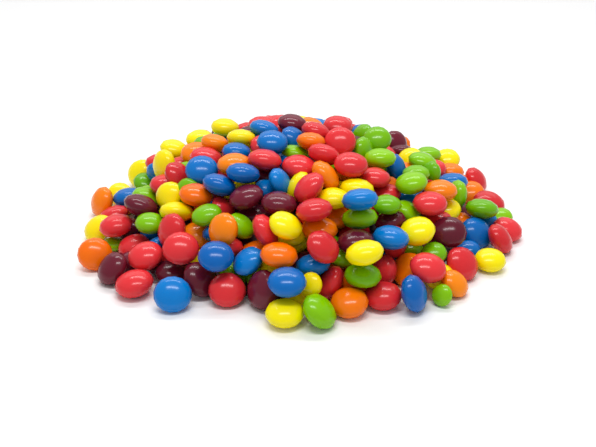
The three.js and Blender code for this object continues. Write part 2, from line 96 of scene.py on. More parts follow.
# Candies that the view shows, read one by one. Each has its middle across and down in view units, how round
# it looks (short side over long side), the lean of its long side in degrees, its size as a share of a
# whole candy, and how many millimetres deeper it lies than the outermost ones.
shownCandies = {
    "yellow": [
        (225.2, 127.3, 0.66, -5, 0.95, 0), (200, 139, 0.7, 5, 0.95, 0), (242, 139, 0.61, -4, 0.92, 0),
        (174, 149, 0.7, -12, 0.95, 0), (254, 155, 0.72, 30, 1, 6), (410, 159, 0.85, 20, 0.85, 3.5),
        (447, 159.5, 0.85, 0, 0.88, 0.5), (164, 165, 0.75, 88, 1, 0), (141, 173.5, 0.9, 70, 1, 0),
        (356, 188, 0.62, -8, 1, 0), (120, 194, 0.9, 0, 0.85, 0), (169, 195.5, 0.9, 60, 0.85, 0),
        (332.5, 197.5, 0.68, 0, 0.92, 0), (446.5, 209.5, 0.8, 0, 0.87, 3), (177, 211, 0.6, -3, 1, 0),
        (287, 224.5, 0.75, -30, 0.95, 1), (98.5, 228.5, 0.8, 45, 0.95, 0), (417, 231, 0.8, 12, 1, 0),
        (296.5, 240, 0.7, 38, 1, 0.8), (364.5, 252.8, 0.65, 12, 1, -2), (490, 260, 0.77, -8, 0.9, 0),
        (345, 263, 0.7, 70, 0.75, 6), (274, 268, 0.7, 0, 0.8, 5), (310.5, 285, 0.9, 80, 0.68, -1.5),
        (283.5, 311.3, 0.74, 0, 1, 0),
    ],
    "orange": [
        (215, 143, 0.62, -12, 0.9, 0), (310.5, 143, 0.62, -5, 0.88, 0), (196, 153, 0.75, 10, 1, 3),
        (234, 164, 0.68, 5, 1, 3), (450, 171.5, 0.66, -5, 0.92, 0), (327, 175.5, 0.62, -50, 1, 0),
        (440, 191, 0.68, -5, 1, 0), (470.5, 192.5, 0.85, 0, 0.92, 2), (196, 195.5, 0.68, -8, 1, 0),
        (103, 205, 0.74, 78, 1, 0), (126, 206, 0.8, 0, 0.7, 8), (336.5, 217.5, 0.8, 0, 0.85, 2),
        (459, 222, 0.8, 0, 0.8, 6),
        (319.5, 229, 0.7, -5, 1, 1.5), (223.3, 229.8, 0.85, 80, 0.94, 0), (196.5, 235, 0.8, 20, 0.97, 2.5),
        (258, 252, 0.7, 0, 0.9, 7), (95, 254, 0.97, 0, 0.98, 0), (279, 255, 0.68, -5, 1, -1),
        (335, 268, 0.7, 20, 0.75, 10), (407, 269, 0.8, 60, 0.97, 6), (454.7, 283.5, 0.78, -50, 0.83, 2),
        (349, 301.5, 0.8, 8, 1, 0),
    ],
    "red": [
        (262, 125, 0.65, 0, 0.95, 3), (274, 126, 0.7, -30, 0.95, 3), (338, 126, 0.74, -8, 0.95, 0),
        (247, 130.5, 0.62, 10, 0.95, 4), (316, 131.8, 0.62, -18, 0.95, 0), (340, 141.5, 0.93, 0, 0.98, 0),
        (323, 155, 0.6, -18, 1, 0), (206, 158, 0.7, -8, 1, 3), (265, 160, 0.64, -8, 1, 0),
        (160, 163, 0.65, 0, 1, 6), (299, 165.5, 0.7, -5, 1, 0), (350, 165.5, 0.75, -8, 1, 0),
        (183, 166, 0.65, 0, 1, 5), (433, 169.5, 0.75, 0, 0.9, 4), (178, 175.3, 0.78, -50, 0.9, 2),
        (375.7, 177.8, 0.7, -12, 0.88, 0), (476, 180, 0.72, -60, 0.95, 0), (166, 185, 0.7, 0, 1, 5),
        (309, 188.5, 0.68, 45, 1, 0), (386.5, 193.5, 0.7, 0, 0.9, 3), (430, 203.5, 0.73, -5, 1, 0),
        (489.5, 206.8, 0.75, -25, 1.05, -1), (223.5, 208.5, 0.72, -55, 0.8, 4),
        (313, 211.5, 0.64, 10, 1, 0), (112, 213, 0.62, 25, 1, 0), (435.5, 221, 0.7, 0, 1, 4),
        (116, 225.5, 0.7, 15, 1, 0), (506.5, 227.7, 0.78, -30, 0.93, 3), (172, 231, 0.8, 80, 1, 3),
        (266, 231, 0.63, -60, 1, 0), (353, 231.5, 0.66, 0, 1, 5), (500, 237.8, 0.68, -60, 0.96, 0),
        (134, 246, 0.75, 20, 0.95, 5), (323, 247, 0.8, -48, 0.96, 2), (182, 250, 0.92, 0, 1, -1),
        (145.5, 256, 0.8, 20, 1, -2), (462, 263, 0.85, -60, 1, 0), (384, 270, 0.75, 80, 0.9, 3),
        (427, 269, 0.8, -20, 1, -3), (331, 282, 0.62, 60, 1, 1.5), (134.2, 283.3, 0.72, 16, 1.05, 0),
        (227, 289, 0.93, 0, 1, 6), (384, 297, 0.76, 0, 1, 0),
    ],
    "green": [
        (362, 136, 0.75, 60, 0.85, 3), (377, 139.2, 0.9, 0, 0.91, 0), (296, 152, 0.62, -10, 0.88, 3.5),
        (427.5, 155, 0.65, 0, 0.92, 3.5), (380, 158.3, 0.65, 0, 0.97, 0),
        (422.5, 161.8, 0.68, -20, 0.93, 0.5), (431, 173, 0.8, 85, 0.72, 0), (416, 174, 0.66, 0, 0.85, 3),
        (411, 183.5, 0.72, 8, 0.95, 0), (457, 195, 0.62, 85, 0.95, 3), (147.5, 197.5, 0.68, -15, 0.97, 3),
        (387, 204.5, 0.7, -5, 0.82, 2), (408.5, 212, 0.7, -40, 0.85, 1.5), (481, 212.5, 0.62, -8, 1, 0),
        (500, 213.5, 0.8, 0, 0.75, 5), (206.5, 215, 0.72, 20, 0.87, 1.5), (359.5, 217.5, 0.62, 5, 1, 1.5),
        (150, 223, 0.75, 0, 0.85, 0), (240.8, 226, 0.72, -42, 0.85, 1.5), (114, 244, 0.7, 0, 0.6, 9),
        (410, 252, 0.75, 0, 0.8, 7), (434, 253, 0.85, 0, 0.72, 3.5), (342, 257, 0.8, 0, 0.8, 6),
        (362.8, 275.5, 0.67, -5, 0.98, -1), (442, 295.2, 0.9, 80, 0.6, 0), (320, 311, 0.72, -50, 1, 0),
    ],
    "blue": [
        (315, 126.5, 0.62, 0, 0.95, 4), (264, 129.5, 0.62, -15, 0.95, 0), (294, 138.5, 0.75, -40, 0.87, 4),
        (272.5, 142, 0.78, -5, 0.95, 0), (236.5, 151.5, 0.66, -5, 0.88, 3), (396, 169, 0.65, -75, 1, 6),
        (202, 170, 0.87, 0, 1, 0), (242.5, 173.8, 0.61, -8, 0.97, 0), (280.5, 181.3, 0.7, -65, 0.84, 5),
        (452, 182, 0.62, 0, 1, 2.5), (219.5, 185, 0.61, -18, 1, 0), (265, 188, 0.85, 0, 0.62, 5),
        (410, 197.5, 0.65, 0, 0.95, 4), (360, 200, 0.61, 5, 1, 0), (484, 224, 0.8, 0, 0.9, 6),
        (477, 234.4, 0.85, -50, 1, 0), (391, 237.5, 0.66, -10, 1, 0), (469, 246, 0.8, 0, 0.7, 6),
        (386, 256, 0.8, 0, 0.8, 6), (216, 256.4, 0.85, 0, 0.96, 0), (250, 265, 0.75, 40, 0.9, 5),
        (313, 265, 0.62, 10, 0.95, -1.5), (287, 282, 0.77, 0, 1, -4.5), (174, 291, 0.96, 0, 1, 0),
        (413.1, 291, 0.7, -78, 1, 0),
    ],
    "purple": [
        (292.2, 123.5, 0.67, -8, 0.95, 0), (396, 142.5, 0.85, -60, 0.85, 3), (360, 150, 0.75, -50, 1, 7),
        (267, 173.5, 0.8, 0, 0.95, 5), (246, 197, 0.7, 20, 1, 0), (279.5, 203, 0.67, -5, 1, 0),
        (141, 205.5, 0.62, -18, 1.04, 0), (254, 215, 0.66, 0, 1, 6), (390.5, 221, 0.66, 15, 0.9, 2.5),
        (449, 233, 0.92, 0, 1, 0), (355.5, 242, 0.68, 5, 1, 3.2), (428, 247, 0.8, 0, 0.9, 6),
        (239, 250, 0.75, 0, 1, 9), (112.3, 268.5, 0.78, 60, 0.98, 0), (129, 262, 0.8, 30, 0.75, 12),
        (158, 266, 0.8, 0, 0.6, 9), (129, 229, 0.8, 0, 0.85, 9), (172, 272.5, 0.75, 0, 0.95, 2),
        (199, 281.5, 0.8, -50, 1.05, 8), (261.8, 289, 0.8, 85, 1.06, 0),
    ],
}

halfWidth = heap["candyWidth"] / 2
halfThickness = heap["candyThickness"] / 2
flatness = halfThickness / halfWidth


# Plain vector arithmetic, on tuples of three
def dot(a, b):
    return a[0] * b[0] + a[1] * b[1] + a[2] * b[2]


def added(a, b, share):
    return (a[0] + b[0] * share, a[1] + b[1] * share, a[2] + b[2] * share)


def times(a, share):
    return (a[0] * share, a[1] * share, a[2] * share)


def unit(a):
    return times(a, 1 / math.sqrt(dot(a, a)))


def kept(a):
    return tuple(math.floor(value * heap["fineness"] + 0.5) / heap["fineness"] for value in a)


up = (0, 0, 1)
ahead = unit((0, view["run"], -view["fall"]))
upright = (0, -ahead[2], ahead[1])
eye = (0, -view["eyeBack"], view["eyeHeight"])
randomState = heap["seed"]


# The same small generator as the model's, so that both lay the same heap
generator = {"factor": 16807, "limit": 2147483647}


def draw():
    global randomState
    randomState = randomState * generator["factor"] % generator["limit"]
    return randomState / generator["limit"]


def drawBetween(low, high):
    return low + (high - low) * draw()


# The heap's outer form is a round dome, and an inset makes it smaller all round
def domeHeight(x, y, inset):
    radius = heap["radius"] - inset
    return (heap["height"] - inset) * (1 - (x * x + y * y) / (radius * radius))


def domeNormal(x, y):
    steepness = (2 * heap["height"]) / (heap["radius"] * heap["radius"])
    return unit((steepness * x, steepness * y, 1))


# How far a candy reaches from its middle in a direction
def reach(candy, direction):
    along = dot(candy["axis"], direction)
    return math.sqrt(candy["wide"] - (candy["wide"] - candy["thin"]) * along * along)


def makeCandy(colour, middle, axis, size):
    wide = halfWidth * size * halfWidth * size
    thin = halfThickness * size * halfThickness * size
    return {
        "colour": colour,
        "middle": kept(middle),
        "axis": unit(kept(axis)),
        "size": size,
        "wide": wide,  # half width and half thickness, squared
        "thin": thin,
    }


# A candy as one column of numbers: middle, axis, size, wide and thin
def columnOf(candy):
    return (*candy["middle"], *candy["axis"], candy["size"], candy["wide"], candy["thin"])


# How deep a candy crosses each of the others, which are columns, and the push that parts them soonest
def crossings(candy, others):
    x, y, z, axisX, axisY, axisZ, sizes, wides, thins = others
    gapX = candy["middle"][0] - x
    gapY = candy["middle"][1] - y
    gapZ = candy["middle"][2] - z
    far = halfWidth * (candy["size"] + sizes)
    near = gapX * gapX + gapY * gapY + gapZ * gapZ < far * far
    ownX, ownY, ownZ = candy["axis"]
    mean = (candy["wide"] + wides) / 2
    flatOne = (candy["wide"] - candy["thin"]) / 2
    flatOther = (wides - thins) / 2
    turn = ownX * axisX + ownY * axisY + ownZ * axisZ
    alongOne = gapX * ownX + gapY * ownY + gapZ * ownZ
    alongOther = gapX * axisX + gapY * axisY + gapZ * axisZ
    spread = (mean - flatOne) * (mean - flatOther) - flatOne * flatOther * turn * turn
    shareOne = flatOne * ((alongOne * (mean - flatOther) + flatOther * turn * alongOther) / spread)
    shareOther = flatOther * ((alongOther * (mean - flatOne) + flatOne * turn * alongOne) / spread)
    scale = 1 / mean
    pushX = (gapX + ownX * shareOne + axisX * shareOther) * scale
    pushY = (gapY + ownY * shareOne + axisY * shareOther) * scale
    pushZ = (gapZ + ownZ * shareOne + axisZ * shareOther) * scale
    nearness = np.sqrt(0.25 * (gapX * pushX + gapY * pushY + gapZ * pushZ))
    length = np.sqrt(pushX * pushX + pushY * pushY + pushZ * pushZ)
    depth = np.where(near, (4 * nearness * (1 - nearness)) / length, 0)
    return depth, pushX, pushY, pushZ, length


def deepestCrossing(candy, others):
    if not others.shape[1]:
        return None
    depth, pushX, pushY, pushZ, length = crossings(candy, others)
    deepest = int(np.argmax(depth))
    if not depth[deepest] > 0:
        return None
    share = 1 / length[deepest]
    direction = (pushX[deepest] * share, pushY[deepest] * share, pushZ[deepest] * share)
    return float(depth[deepest]), tuple(float(value) for value in direction)


# Where a line of sight first meets the dome, or passes nearest to it
def domeDistance(sight, inset):
    height = heap["height"] - inset
    bend = height / ((heap["radius"] - inset) * (heap["radius"] - inset))
    square = bend * (sight[0] * sight[0] + sight[1] * sight[1])
    linear = sight[2] - 2 * bend * view["eyeBack"] * sight[1]
    constant = bend * view["eyeBack"] * view["eyeBack"] + view["eyeHeight"] - height
    meets = linear * linear - 4 * square * constant
    return (-linear - math.sqrt(meets)) / (2 * square) if meets > 0 else -linear / (2 * square)


# A shown candy turns so that its outline has the roundness and lean that were read
def shownAxis(sight, roundness, lean):
    spare = (roundness * roundness - flatness * flatness) / (1 - flatness * flatness)
    facing = math.sqrt(max(0, spare))
    aside = math.sqrt(1 - facing * facing)
    angle = (lean * math.pi) / 180
    tilted = added((-math.sin(angle) * aside, 0, 0), upright, math.cos(angle) * aside)
    return unit(added(tilted, sight, -facing))


def layShown():
    candies = []
    for colour, rows in shownCandies.items():
        for across, down, roundness, lean, size, deeper in rows:
            aside = (across - view["width"] / 2) / view["focalLength"]
            raised = (view["height"] / 2 - down) / view["focalLength"]
            sight = unit((aside, ahead[1] + raised * upright[1], ahead[2] + raised * upright[2]))
            candy = makeCandy(colour, eye, shownAxis(sight, roundness, lean), size)
            floorDistance = (reach(candy, up) - view["eyeHeight"]) / sight[2]
            distance = min(domeDistance(sight, heap["shownInset"] + deeper), floorDistance)
            candy["middle"] = kept(added(eye, sight, distance))
            candy["sight"] = sight
            candy["onSurface"] = candy["middle"][2] - reach(candy, up) < heap["nearSurface"]
            candies.append(candy)
    return candies


# No candy sinks into the surface, and one that the view shows lying on it stays down on it
def keepAbove(candy):
    lowest = reach(candy, up)
    if candy.get("onSurface") or candy["middle"][2] < lowest:
        candy["middle"] = (candy["middle"][0], candy["middle"][1], lowest)


# Candies that cross push each other apart, while each is drawn back to its own line of sight
def easeApart(candies):
    for turn in range(heap["easingRounds"]):
        middles = np.array([candy["middle"] for candy in candies])
        gaps = np.linalg.norm(middles[:, None] - middles[None, :], axis=2)
        for i, candy in enumerate(candies):
            for j in np.flatnonzero(gaps[i, :i] < heap["easingReach"]):
                other = candies[j]
                found = deepestCrossing(candy, np.array(columnOf(other))[:, None])
                if found:
                    candy["middle"] = added(candy["middle"], found[1], found[0] / 2)
                    other["middle"] = added(other["middle"], found[1], -found[0] / 2)
        for candy in candies:
            if turn < heap["easingRounds"] - heap["freeRounds"]:
                along = dot(added(candy["middle"], eye, -1), candy["sight"])
                onSight = added(eye, candy["sight"], along)
                way = added(onSight, candy["middle"], -1)
                candy["middle"] = added(candy["middle"], way, heap["sightPull"])
            keepAbove(candy)
            candy["middle"] = kept(candy["middle"])


# A candy as the view shows it: its middle across and down from the view's own middle, how far it reaches
# to a side and up, and how far ahead it lies
def seen(candy):
    offset = added(candy["middle"], eye, -1)
    distance = dot(offset, ahead)
    share = view["focalLength"] / distance
    wide = reach(candy, (1, 0, 0)) * share
    return offset[0] * share, -dot(offset, upright) * share, wide, reach(candy, upright) * share, distance


# Millimetres that a point lies inside the outer form, measured square to its slope
def depthUnder(point):
    return (domeHeight(point[0], point[1], 0) - point[2]) * domeNormal(point[0], point[1])[2]


def keepUnder(candy, proud):
    normal = domeNormal(candy["middle"][0], candy["middle"][1])
    excess = reach(candy, normal) - proud - depthUnder(candy["middle"])
    if excess > 0:
        candy["middle"] = added(candy["middle"], normal, -excess)


# Whether the view would show a candy before a shown one, or outside the outline of the shown ones
def intrudes(candy, shownPlaces):
    across, down, wide, tall, distance = seen(candy)
    acrossOthers, downOthers, wideOthers, tallOthers, distanceOthers = shownPlaces
    for share in tuck["outlineShares"]:
        column = (across + share * wide - acrossOthers) / wideOthers
        top = down - tall * math.sqrt(1 - share * share)
        tops = downOthers - tallOthers * np.sqrt(np.maximum(0, 1 - column * column))
        if np.all((np.abs(column) >= 1) | (top < tops)):
            return True
    gapAcross = across - acrossOthers
    gapDown = down - downOthers
    close = gapAcross * gapAcross + gapDown * gapDown < tuck["viewClearance"] * tuck["viewClearance"]
    return bool(np.any(close & (distance < distanceOthers)))


# The candy drifts up or down in small steps, and each step parts it from what it meets. It stops where it
# comes to rest, or before it would intrude on the view.
def driftToRest(candy, neighbours, shownPlaces, heading, proud):
    furthest = candy["middle"][2]
    resting = 0
    step = 0
    while step < tuck["driftSteps"] and resting < tuck["restingSteps"]:
        before = candy["middle"]
        candy["middle"] = added(candy["middle"], (0, 0, heading), tuck["driftStep"])
        for _ in range(tuck["partingsPerStep"]):
            keepUnder(candy, proud)
            keepAbove(candy)
            found = deepestCrossing(candy, neighbours)
            if not found:
                break
            candy["middle"] = added(candy["middle"], found[1], found[0])
        if step > 0 and intrudes(candy, shownPlaces):
            candy["middle"] = before
            break
        moved = (candy["middle"][2] - furthest) * heading > tuck["driftStep"] / tuck["stillParts"]
        if moved:
            furthest = candy["middle"][2]
        resting = 0 if moved else resting + 1
        step += 1
    keepAbove(candy)
    candy["middle"] = kept(candy["middle"])


def drawColour():
    left = draw()
    for colour, share in colourShares.items():
        if left < share:
            return colour
        left -= share
    return "red"


# A point drawn evenly from the unit disc or the unit ball, by drawing again until it falls inside
def drawInside(dimensions):
    while True:
        drawn = [drawBetween(-1, 1) for _ in range(dimensions)]
        point = tuple(drawn + [0] * (3 - dimensions))
        if dot(point, point) <= 1:
            return point


def drawTucked(low):
    x, y, _ = times(drawInside(2), heap["radius"])
    floor = 0 if low else max(0, domeHeight(x, y, tuck["packedInset"]))
    ceiling = min(tuck["lowBand"], domeHeight(x, y, 0)) if low else domeHeight(x, y, 0)
    turned = added(unit(drawInside(3)), up, tuck["uprightness"])
    axis = unit(added(turned, (x / heap["radius"], y / heap["radius"], 0), tuck["outwardness"]))
    return makeCandy(drawColour(), (x, y, drawBetween(floor, ceiling)), axis, drawBetween(*tuck["sizes"]))


# The rest of the heap. A candy starts anywhere in it and comes to rest: the low ones sink to the surface,
# and the others rise until they bear on the outer ones from below. It stays where it doesn't stand out of
# the outer form or intrude on the view. It is parted only from neighbours of its starting place, so one that
# slides far can still cross another.
def tuckIn(candies, tries, low):
    shownPlaces = np.array([seen(candy) for candy in candies if "sight" in candy]).T
    columns = np.array([columnOf(candy) for candy in candies]).T
    for _ in range(tries):
        candy = drawTucked(low)
        proud = drawBetween(*tuck["proudness"])
        gapX = candy["middle"][0] - columns[0]
        gapY = candy["middle"][1] - columns[1]
        neighbours = columns[:, gapX * gapX + gapY * gapY < tuck["neighbourReach"] * tuck["neighbourReach"]]
        start = deepestCrossing(candy, neighbours)
        if start and start[0] > tuck["crowdedDepth"]:
            continue
        driftToRest(candy, neighbours, shownPlaces, -1 if low else 1, proud)
        left = deepestCrossing(candy, neighbours)
        if left and left[0] > tuck["allowedCrossing"]:
            continue
        x, y = candy["middle"][:2]
        room = depthUnder(candy["middle"]) - reach(candy, domeNormal(x, y))
        if room < -tuck["proudness"][1] or math.sqrt(x * x + y * y) > heap["radius"] - halfWidth:
            continue
        if not intrudes(candy, shownPlaces):
            candies.append(candy)
            columns = np.column_stack((columns, columnOf(candy)))


# The middle of the heap's width or of its depth
def middleAcross(direction, candies):
    places = [(dot(candy["middle"], direction), reach(candy, direction)) for candy in candies]
    high = max(middle + half for middle, half in places)
    low = min(middle - half for middle, half in places)
    return (high + low) / 2


candies = layShown()
easeApart(candies)
print("shown candies laid:", len(candies))
tuckIn(candies, tuck["lowTries"], True)
tuckIn(candies, tuck["tries"], False)
print("candies in the heap:", len(candies))

millimetre = 0.001
centre = (middleAcross((1, 0, 0), candies), middleAcross((0, 1, 0), candies), 0)

# The candies right below, which only the gaps between the others show. The model doesn't have these.
below = {
    "tries": 6000,
    "depths": (6, 20),  # millimetres under the outer form
    "sizes": (0.9, 1),
    "allowedCrossing": 2.6,  # millimetres, where they press together in the shade
    "rimDepth": 1.5,  # millimetres that one lying on the surface keeps inside the outer form
    "rimInset": 9,  # and its middle from the edge of that form
}


def fillBelow(candies):
    shownPlaces = np.array([seen(candy) for candy in candies if "sight" in candy]).T
    columns = np.array([columnOf(candy) for candy in candies]).T
    for _ in range(below["tries"]):
        drawn = drawTucked(False)
        x, y, _ = drawn["middle"]
        middle = added((x, y, domeHeight(x, y, 0)), domeNormal(x, y), -drawBetween(*below["depths"]))
        candy = makeCandy(drawn["colour"], middle, drawn["axis"], drawBetween(*below["sizes"]))
        onSurface = middle[2] < reach(candy, up)
        keepAbove(candy)
        if onSurface and (
            depthUnder(candy["middle"]) < below["rimDepth"]
            or math.hypot(*candy["middle"][:2]) > heap["radius"] - below["rimInset"]
            or intrudes(candy, shownPlaces)
        ):
            continue
        found = deepestCrossing(candy, columns)
        if not found or found[0] <= below["allowedCrossing"]:
            candies.append(candy)
            columns = np.column_stack((columns, columnOf(candy)))


# A point of the laid heap as it stands in the frame, in metres
def inFrame(point):
    return Vector(point[i] - centre[i] for i in range(3)) * millimetre


fillBelow(candies)
print("candies with the ones right below:", len(candies))


# An sRGB hex colour as the linear colour that a shader takes, by the sRGB curve's own numbers
def linear(hexColour):
    shares = [int(hexColour[i : i + 2], 16) / 255 for i in (1, 3, 5)]
    return [share / 12.92 if share <= 0.04045 else ((share + 0.055) / 1.055) ** 2.4 for share in shares] + [1]


# Adds a node, and gives it its settings, the values of its sockets and its links
def addNode(tree, kind, settings=(), values=(), links=()):
    node = tree.nodes.new(kind)
    for name, value in dict(settings).items():
        setattr(node, name, value)
    for socket, value in dict(values).items():
        node.inputs[socket].default_value = value
    for socket, source in dict(links).items():
        tree.links.new(source, node.inputs[socket])
    return node


# Sugar shell, panned in many thin coats and polished with wax. The eye gets an even, saturated colour
# with a clear gloss over it, a little paler or darker from candy to candy, and very faintly pebbled.
shell = {
    "refraction": 1.5,
    "roughness": (0.17, 0.22),
    "specular": 0.3,  # a waxed shell mirrors less than a varnish does
    "toneShift": 0.8,  # how far a candy's own tone moves between its lighter and its deeper colour
    "mottleSize": 2.5,  # millimetres
    "mottleShift": 0.2,
    "lumpSize": 9,  # millimetres
    "lumpHeight": 0.08,  # millimetres
    "pebbleSize": 0.9,  # millimetres; the real pebbling is finer than the render can show
    "pebbleDepth": 0.003,  # millimetres
    "colours": {
        "yellow": ("#FFF000", "#FCE200"),
        "orange": ("#FF900A", "#FA6A00"),
        "red": ("#EC383E", "#CE242A"),
        "green": ("#94D200", "#62AC00"),
        "blue": ("#0082D4", "#005CB0"),
        "purple": ("#721A30", "#581424"),
    },
}


# The true normal of a lens that has few faces: its offset from the middle, drawn out along its axis
def lensNormal(tree, place):
    centre = addNode(tree, "ShaderNodeAttribute", {"attribute_name": "centre"}).outputs["Vector"]
    axis = addNode(tree, "ShaderNodeAttribute", {"attribute_name": "axis"}).outputs["Vector"]
    offset = addNode(
        tree, "ShaderNodeVectorMath", {"operation": "SUBTRACT"}, links={0: place, 1: centre}
    ).outputs[0]
    along = addNode(tree, "ShaderNodeVectorMath", {"operation": "DOT_PRODUCT"}, links={0: offset, 1: axis})
    stretch = 1 / (flatness * flatness) - 1
    drawn = addNode(
        tree, "ShaderNodeMath", {"operation": "MULTIPLY"}, {1: stretch}, {0: along.outputs["Value"]}
    ).outputs[0]
    rise = addNode(
        tree, "ShaderNodeVectorMath", {"operation": "SCALE"}, links={0: axis, "Scale": drawn}
    ).outputs[0]
    normal = addNode(
        tree, "ShaderNodeVectorMath", {"operation": "ADD"}, links={0: offset, 1: rise}
    ).outputs[0]
    turned = addNode(
        tree,
        "ShaderNodeVectorTransform",
        {"vector_type": "NORMAL", "convert_from": "OBJECT", "convert_to": "WORLD"},
        links={"Vector": normal},
    ).outputs[0]
    return addNode(tree, "ShaderNodeVectorMath", {"operation": "NORMALIZE"}, links={0: turned}).outputs[0]


def shellMaterial(colour):
    lighter, deeper = shell["colours"][colour]
    material = bpy.data.materials.new("Polished sugar shell, " + colour)
    material.use_nodes = True
    tree = material.node_tree
    tree.nodes.clear()
    place = addNode(tree, "ShaderNodeTexCoord").outputs["Object"]
    tone = addNode(tree, "ShaderNodeAttribute", {"attribute_name": "tone"}).outputs["Fac"]
    mottle = addNode(
        tree,
        "ShaderNodeTexNoise",
        values={"Scale": 1 / (shell["mottleSize"] * millimetre), "Detail": 2},
        links={"Vector": place},
    ).outputs["Fac"]
    fromTone = addNode(
        tree,
        "ShaderNodeMath",
        {"operation": "MULTIPLY_ADD"},
        {1: shell["toneShift"], 2: (1 - shell["toneShift"] - shell["mottleShift"]) / 2},
        {0: tone},
    ).outputs[0]
    share = addNode(
        tree,
        "ShaderNodeMath",
        {"operation": "MULTIPLY_ADD", "use_clamp": True},
        {1: shell["mottleShift"]},
        {0: mottle, 2: fromTone},
    ).outputs[0]
    # Sockets 6 and 7 are the two colours that are mixed
    tinted = addNode(
        tree, "ShaderNodeMix", {"data_type": "RGBA"}, {6: linear(lighter), 7: linear(deeper)}, {0: share}
    ).outputs[2]
    low, high = shell["roughness"]
    rough = addNode(
        tree, "ShaderNodeMapRange", values={"To Min": low, "To Max": high}, links={"Value": mottle}
    ).outputs[0]
    height = None
    for size, rise in (("lumpSize", "lumpHeight"), ("pebbleSize", "pebbleDepth")):
        bumps = addNode(
            tree,
            "ShaderNodeTexNoise",
            values={"Scale": 1 / (shell[size] * millimetre), "Detail": 0},
            links={"Vector": place},
        ).outputs["Fac"]
        height = addNode(
            tree,
            "ShaderNodeMath",
            {"operation": "MULTIPLY_ADD"},
            {1: shell[rise] * millimetre, 2: 0},
            {0: bumps, **({2: height} if height else {})},
        ).outputs[0]
    bump = addNode(
        tree,
        "ShaderNodeBump",
        values={"Strength": 1, "Distance": 1},
        links={"Height": height, "Normal": lensNormal(tree, place)},
    ).outputs[0]
    surface = addNode(
        tree,
        "ShaderNodeBsdfPrincipled",
        values={
            "IOR": shell["refraction"],
            "Specular IOR Level": shell["specular"],
        },
        links={"Base Color": tinted, "Roughness": rough, "Normal": bump},
    ).outputs[0]
    addNode(tree, "ShaderNodeOutputMaterial", links={"Surface": surface})
    return material


# One candy's form, repeated at its places
form = {
    "segments": 16,
    "rings": 6,
    "seed": 11,
}


def candyTree():
    tree = bpy.data.node_groups.new("Candies at their places", "GeometryNodeTree")
    tree.interface.new_socket("Geometry", in_out="INPUT", socket_type="NodeSocketGeometry")
    for name, kind in (
        ("Candy width", "NodeSocketFloat"),
        ("Candy thickness", "NodeSocketFloat"),
        ("Segments", "NodeSocketInt"),
        ("Rings", "NodeSocketInt"),
        ("Seed", "NodeSocketInt"),
        ("Shell", "NodeSocketMaterial"),
    ):
        tree.interface.new_socket(name, in_out="INPUT", socket_type=kind)
    tree.interface.new_socket("Geometry", in_out="OUTPUT", socket_type="NodeSocketGeometry")
    given = addNode(tree, "NodeGroupInput").outputs

    # The lens: a round ball, drawn in along its axis
    ball = addNode(
        tree,
        "GeometryNodeMeshUVSphere",
        values={"Radius": 0.5},
        links={"Segments": given["Segments"], "Rings": given["Rings"]},
    ).outputs["Mesh"]
    sizes = addNode(
        tree,
        "ShaderNodeCombineXYZ",
        links={"X": given["Candy width"], "Y": given["Candy width"], "Z": given["Candy thickness"]},
    ).outputs[0]
    lens = addNode(tree, "GeometryNodeTransform", links={"Geometry": ball, "Scale": sizes}).outputs[0]

    # Its places: each turned to lie along its own axis, with a spin of its own
    axis = addNode(
        tree, "GeometryNodeInputNamedAttribute", {"data_type": "FLOAT_VECTOR"}, {"Name": "axis"}
    ).outputs["Attribute"]
    size = addNode(tree, "GeometryNodeInputNamedAttribute", {"data_type": "FLOAT"}, {"Name": "size"}).outputs[
        "Attribute"
    ]
    spin = addNode(
        tree,
        "FunctionNodeRandomValue",
        {"data_type": "FLOAT"},
        {"Min": 0, "Max": 2 * math.pi},
        {"Seed": given["Seed"]},
    ).outputs["Value"]
    spun = addNode(tree, "ShaderNodeCombineXYZ", links={"Z": spin}).outputs[0]
    turned = addNode(
        tree, "FunctionNodeAlignRotationToVector", {"axis": "Z"}, links={"Rotation": spun, "Vector": axis}
    ).outputs[0]
    instances = addNode(
        tree,
        "GeometryNodeInstanceOnPoints",
        links={"Points": given["Geometry"], "Instance": lens, "Rotation": turned, "Scale": size},
    ).outputs[0]
    nextSeed = addNode(tree, "ShaderNodeMath", {"operation": "ADD"}, {1: 1}, {0: given["Seed"]}).outputs[0]
    tone = addNode(
        tree, "FunctionNodeRandomValue", {"data_type": "FLOAT"}, {"Min": 0, "Max": 1}, {"Seed": nextSeed}
    ).outputs["Value"]
    toned = addNode(
        tree,
        "GeometryNodeStoreNamedAttribute",
        {"data_type": "FLOAT", "domain": "INSTANCE"},
        {"Name": "tone"},
        {"Geometry": instances, "Value": tone},
    ).outputs[0]
    realized = addNode(tree, "GeometryNodeRealizeInstances", links={"Geometry": toned}).outputs[0]
    smooth = addNode(tree, "GeometryNodeSetShadeSmooth", links={"Geometry": realized}).outputs[0]
    finished = addNode(
        tree, "GeometryNodeSetMaterial", links={"Geometry": smooth, "Material": given["Shell"]}
    ).outputs[0]
    addNode(tree, "NodeGroupOutput", links={0: finished})
    return tree


# A plain mesh object from points and their faces
def meshObject(name, points, faces=()):
    mesh = bpy.data.meshes.new(name)
    mesh.from_pydata([tuple(point) for point in points], [], list(faces))
    made = bpy.data.objects.new(name, mesh)
    bpy.context.scene.collection.objects.link(made)
    return made


# Gives an object the tree's result as its own plain mesh
def applyTree(made, tree, inputs):
    modifier = made.modifiers.new("Candies", "NODES")
    modifier.node_group = tree
    sockets = {item.name: item.identifier for item in tree.interface.items_tree if item.in_out == "INPUT"}
    for name, value in inputs.items():
        modifier[sockets[name]] = value
    evaluated = made.evaluated_get(bpy.context.evaluated_depsgraph_get())
    mesh = bpy.data.meshes.new_from_object(evaluated)
    made.modifiers.remove(modifier)
    made.data = mesh
    mesh.name = made.name
    return made


